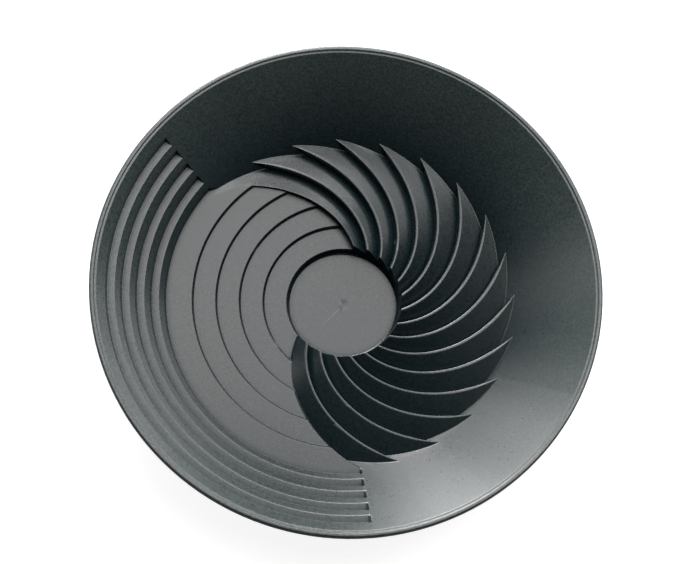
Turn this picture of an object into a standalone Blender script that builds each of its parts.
"""Gold pan: a one-piece injection moulding in black polypropylene.

The moulding is a shallow bowl. Going down from the lip it has a conical wall,
five stepped riffles over a third of that wall, five flat terraces below them,
a fan of saw-tooth vanes over the rest of the floor, and a deep cup in the
middle that keeps the gold.

The top side is an open sheet, lofted through sections that run from the middle
of the cup to the lip and down its skirt. On the vane side the sections follow
the vanes' own spiral, so every crest is one clean edge of the mesh. Solidify
then gives the sheet the moulding's even wall.

Metres, +Z up. The origin is the centre of the flat face that the pan rests on.
"""

import math

import bmesh
import bpy

MM = 0.001

# ---- driving dimensions, millimetres and degrees ---------------------------
# Angles run anticlockwise from +X, seen from above. Lists run outwards.
# A draft is the horizontal run of a steep face.
RIM_RADIUS = 200.0        # outside of the lip
HEIGHT = 65.0             # resting face to top of the lip
WALL = 2.6                # wall thickness of the moulding

FLOOR_RADIUS = 137.6      # where the conical wall meets the top of the floor
FLOOR_Z = 18.0
LEDGE_RADIUS = 194.3      # top of the conical wall
LEDGE_Z = 63.8
WALL_SLOPE = (LEDGE_Z - FLOOR_Z) / (LEDGE_RADIUS - FLOOR_RADIUS)

CUP_RADIUS = 43.7         # flat floor of the cup
CUP_FLOOR = WALL
CUP_DRAFT_TERRACES = 0.36  # run of the cup's wall per unit of rise, by the terraces
CUP_DRAFT_VANES = 0.18     # and by the vanes

TERRACE_Z = (8.4, 10.8, 13.2, 15.6, FLOOR_Z)
TERRACE_EDGE = (65.0, 84.0, 102.7, 121.4)           # top edge of each step
TERRACE_DRAFT = 1.5

RIFFLE_TOP = (142.6, 153.8, 165.0, 176.2, 187.3)    # top edge of each riser
RIFFLE_TREAD = 6.5        # radial distance from a tread's inner edge to RIFFLE_TOP
RIFFLE_DRAFT = 0.5
RIFFLE_TILT = 0.1         # each tread dips this much towards its riser
RIFFLE_FROM = 140.0       # the riffles run anticlockwise from here to VANE_LAST

VANES = 15
VANE_PITCH = 15.0
VANE_FIRST = 137.4        # angle of the first vane's tip
VANE_LAST = -85.5         # angle of the edge that closes the last bay
VANE_DRAFT = 0.9          # run of a riser between its crest and its foot
VANE_INNER = CUP_RADIUS + 4.4       # radius of the inner crest and foot heights
FOOT_RADIUS = 129.4       # where the foot of a riser meets the wall
CREST_Z = (FLOOR_Z, 17.6)           # crest height at the tip and at VANE_INNER
FOOT_Z = (11.4, 10.8)               # foot height at the wall and at VANE_INNER
SPIRAL_RATE = 0.5864      # a vane's turn per mm of radius, at its tip
SPIRAL_CURL = 0.000469    # and its growth, per mm squared

# (radius, height) from the top of the wall over the lip and down its skirt
LIP = (
    (LEDGE_RADIUS, LEDGE_Z),
    (195.5, LEDGE_Z),
    (196.9, HEIGHT),
    (198.9, HEIGHT),
    (199.8, HEIGHT - 0.9),
    (RIM_RADIUS, HEIGHT - 5.0),
)
LIP_FIRST = -85.0         # angle of the lip's first corner

# ---- mesh stations ---------------------------------------------------------
BAY_STEPS = 2             # steps between a riser's foot and the next crest
TERRACE_STEPS = 26        # steps across the terraces
VANE_SPANS = 13           # spans along a vane, from the cup to the wall
TERRACE_FIRST = 55.0      # radius of the station on the innermost terrace
TERRACE_MIDDLE = 9.2      # from a step's top edge to the station on its terrace
WALL_START = 2.0          # from FLOOR_RADIUS to the wall's first station
RUN_LIMIT = FLOOR_RADIUS + 8.0      # a riser's run, in degrees, is held beyond this

SHARP_ANGLE = 25.0        # edges that bend more than this are shaded sharp


# ---- heights and radii -----------------------------------------------------
def lerp(a, b, t):
    return a + (b - a) * t


def cone(r):
    """Height of the smooth conical wall."""
    return FLOOR_Z + (r - FLOOR_RADIUS) * WALL_SLOPE


def bay_z(r, s):
    """Floor of a bay, from the foot of its riser (s 0) up to the next crest (s 1)."""
    foot = lerp(*FOOT_Z, (FOOT_RADIUS - r) / (FOOT_RADIUS - VANE_INNER))
    crest = lerp(*CREST_Z, (FLOOR_RADIUS - r) / (FLOOR_RADIUS - VANE_INNER))
    return lerp(foot, crest, s)


def bay_end(s):
    """Radius where the floor of a bay, straight like the wall, runs out into it."""
    inner_gap = bay_z(CUP_RADIUS, s) - cone(CUP_RADIUS)
    outer_gap = bay_z(FLOOR_RADIUS, s) - cone(FLOOR_RADIUS)
    return lerp(CUP_RADIUS, FLOOR_RADIUS, inner_gap / (inner_gap - outer_gap))


def terrace_radii():
    """Stations on the terraces: foot and top of each step, and one between steps."""
    radii = [TERRACE_FIRST]
    for edge in TERRACE_EDGE:
        radii += [edge - TERRACE_DRAFT, edge, edge + TERRACE_MIDDLE]
    return radii[:-1]


def riffle_profile():
    """(radius, height) up the riffles; the first riser stands on the top terrace."""
    profile = []
    foot = FLOOR_Z
    for top in RIFFLE_TOP:
        if profile:
            start = top - RIFFLE_TREAD
            profile.append((start, cone(start)))
            foot = cone(start) - RIFFLE_TILT
        profile += [(top - RIFFLE_DRAFT, foot), (top, cone(top))]
    return profile


# ---- angles ----------------------------------------------------------------
def spiral(r):
    """How far a vane has turned at this radius: 0 at its tip, clockwise inside it."""
    inward = FLOOR_RADIUS - r
    return -(SPIRAL_RATE * inward + SPIRAL_CURL * inward * abs(inward))


def floor_turn(r):
    """The spiral over the floor; on the wall the lines run on, radially."""
    return spiral(r) if r < FLOOR_RADIUS else 0


def riser_run(r):
    """Angle from a riser's crest anticlockwise to its foot."""
    r = min(r, RUN_LIMIT)
    slope = math.radians(SPIRAL_RATE + 2 * SPIRAL_CURL * (FLOOR_RADIUS - r)) * r
    return math.degrees(VANE_DRAFT * math.hypot(1, slope) / r)


def first_edge(r):
    """Angle of the line that ends the terraces and riffles at the first vane."""
    return min(VANE_FIRST + spiral(r), RIFFLE_FROM)


def last_edge(r):
    """Angle of the line that ends them at the last bay."""
    return VANE_LAST + 360 + floor_turn(r)


def vane_angle(k, r):
    """Angle of vane k's crest; vanes 0 and VANES are the ends of the terraces."""
    if k == 0:
        return first_edge(r)
    if k == VANES:
        return last_edge(r) - 360
    return VANE_FIRST - VANE_PITCH * k + floor_turn(r)


# ---- the sections: (radius, angle, height) from the cup outwards -----------
def terrace_section(f):
    """Across the terraces and riffles; f is 0 at the first vane, 1 at the last bay."""
    cup_top = CUP_RADIUS + (TERRACE_Z[0] - CUP_FLOOR) * CUP_DRAFT_TERRACES
    profile = [(CUP_RADIUS, CUP_FLOOR), (cup_top, TERRACE_Z[0])]
    # the top terrace's stations drift to match those of the bays at either end
    end = lerp(bay_end(1), FOOT_RADIUS, f)
    beyond = lerp(FLOOR_RADIUS + WALL_START, FLOOR_RADIUS, f)
    for r in terrace_radii() + [end, beyond]:
        steps_passed = sum(r >= edge for edge in TERRACE_EDGE)
        profile.append((r, TERRACE_Z[steps_passed]))
    profile += riffle_profile()
    return [(r, lerp(first_edge(r), last_edge(r), f), z) for r, z in profile]


def vane_section(k, s):
    """The same stations in the bay between vane k (s 0, the foot of its riser)
    and vane k - 1 (s 1, its crest)."""
    cup_top = CUP_RADIUS + (bay_z(CUP_RADIUS, s) - CUP_FLOOR) * CUP_DRAFT_VANES
    end = bay_end(s)
    # beside the terraces the stations match theirs, and elsewhere they are even
    share = {1: s, VANES: 1 - s}.get(k, 0)
    floor = [cup_top]
    for n, terrace in enumerate(terrace_radii(), 1):
        floor.append(lerp(lerp(cup_top, end, n / VANE_SPANS), terrace, share))
    floor.append(end)
    wall = [lerp(FLOOR_RADIUS, FLOOR_RADIUS + WALL_START, s)]
    wall += [r for r, _ in riffle_profile()]

    profile = [(CUP_RADIUS, CUP_FLOOR)]
    profile += [(r, bay_z(r, s)) for r in floor]
    profile += [(r, cone(r)) for r in wall]
    return [(r, lerp(vane_angle(k, r) + riser_run(r), vane_angle(k - 1, r), s), z)
            for r, z in profile]


def sections():
    """Every section of the top side, anticlockwise, with the lip added."""
    found = []
    for k in range(VANES, 0, -1):
        found += [vane_section(k, s / BAY_STEPS) for s in range(BAY_STEPS + 1)]
    found += [terrace_section(f / TERRACE_STEPS) for f in range(TERRACE_STEPS + 1)]
    # the lip's corners are evenly spaced, wherever the sections begin
    for n, section in enumerate(found):
        angle = LIP_FIRST + n * 360 / len(found)
        section += [(r, angle, z) for r, z in LIP]
    return found


# ---- the pan ---------------------------------------------------------------
def position(r, angle, z):
    """A section's point in metres."""
    angle = math.radians(angle)
    return (r * math.cos(angle) * MM, r * math.sin(angle) * MM, z * MM)


def sheet_mesh():
    """The open sheet of the top side, over the lip and down its skirt."""
    bm = bmesh.new()
    verts = [[bm.verts.new(position(*point)) for point in section]
             for section in sections()]
    middle = bm.verts.new((0, 0, CUP_FLOOR * MM))
    for here, there in zip(verts, verts[1:] + verts[:1]):
        bm.faces.new((middle, here[0], there[0]))
        for i in range(len(here) - 1):
            bm.faces.new((here[i], here[i + 1], there[i + 1], there[i]))
    # neighbouring sections share some of their points
    bmesh.ops.remove_doubles(bm, verts=bm.verts, dist=0.01 * MM)
    bmesh.ops.dissolve_degenerate(bm, edges=bm.edges, dist=0.001 * MM)
    bmesh.ops.recalc_face_normals(bm, faces=bm.faces)
    mesh = bpy.data.meshes.new("pan")
    bm.to_mesh(mesh)
    bm.free()
    mesh.shade_smooth()
    mesh.set_sharp_from_angle(angle=math.radians(SHARP_ANGLE))
    return mesh


def build_pan(collection):
    """The sheet, thickened away from its top side."""
    pan = bpy.data.objects.new("pan", sheet_mesh())
    collection.objects.link(pan)
    wall = pan.modifiers.new("wall", "SOLIDIFY")
    wall.thickness = WALL * MM
    wall.offset = -1
    wall.solidify_mode = "NON_MANIFOLD"
    wall.nonmanifold_thickness_mode = "CONSTRAINTS"
    return pan


def plastic():
    material = bpy.data.materials.new("black_polypropylene")
    material.use_nodes = True
    shader = material.node_tree.nodes["Principled BSDF"]
    shader.inputs["Base Color"].default_value = (0.017, 0.021, 0.021, 1)
    shader.inputs["Roughness"].default_value = 0.42
    shader.inputs["Metallic"].default_value = 0.0
    return material


def main():
    for obj in list(bpy.data.objects):
        bpy.data.objects.remove(obj, do_unlink=True)
    collection = bpy.data.collections.new("gold_pan")
    bpy.context.scene.collection.children.link(collection)
    pan = build_pan(collection)
    pan.data.materials.append(plastic())


main()
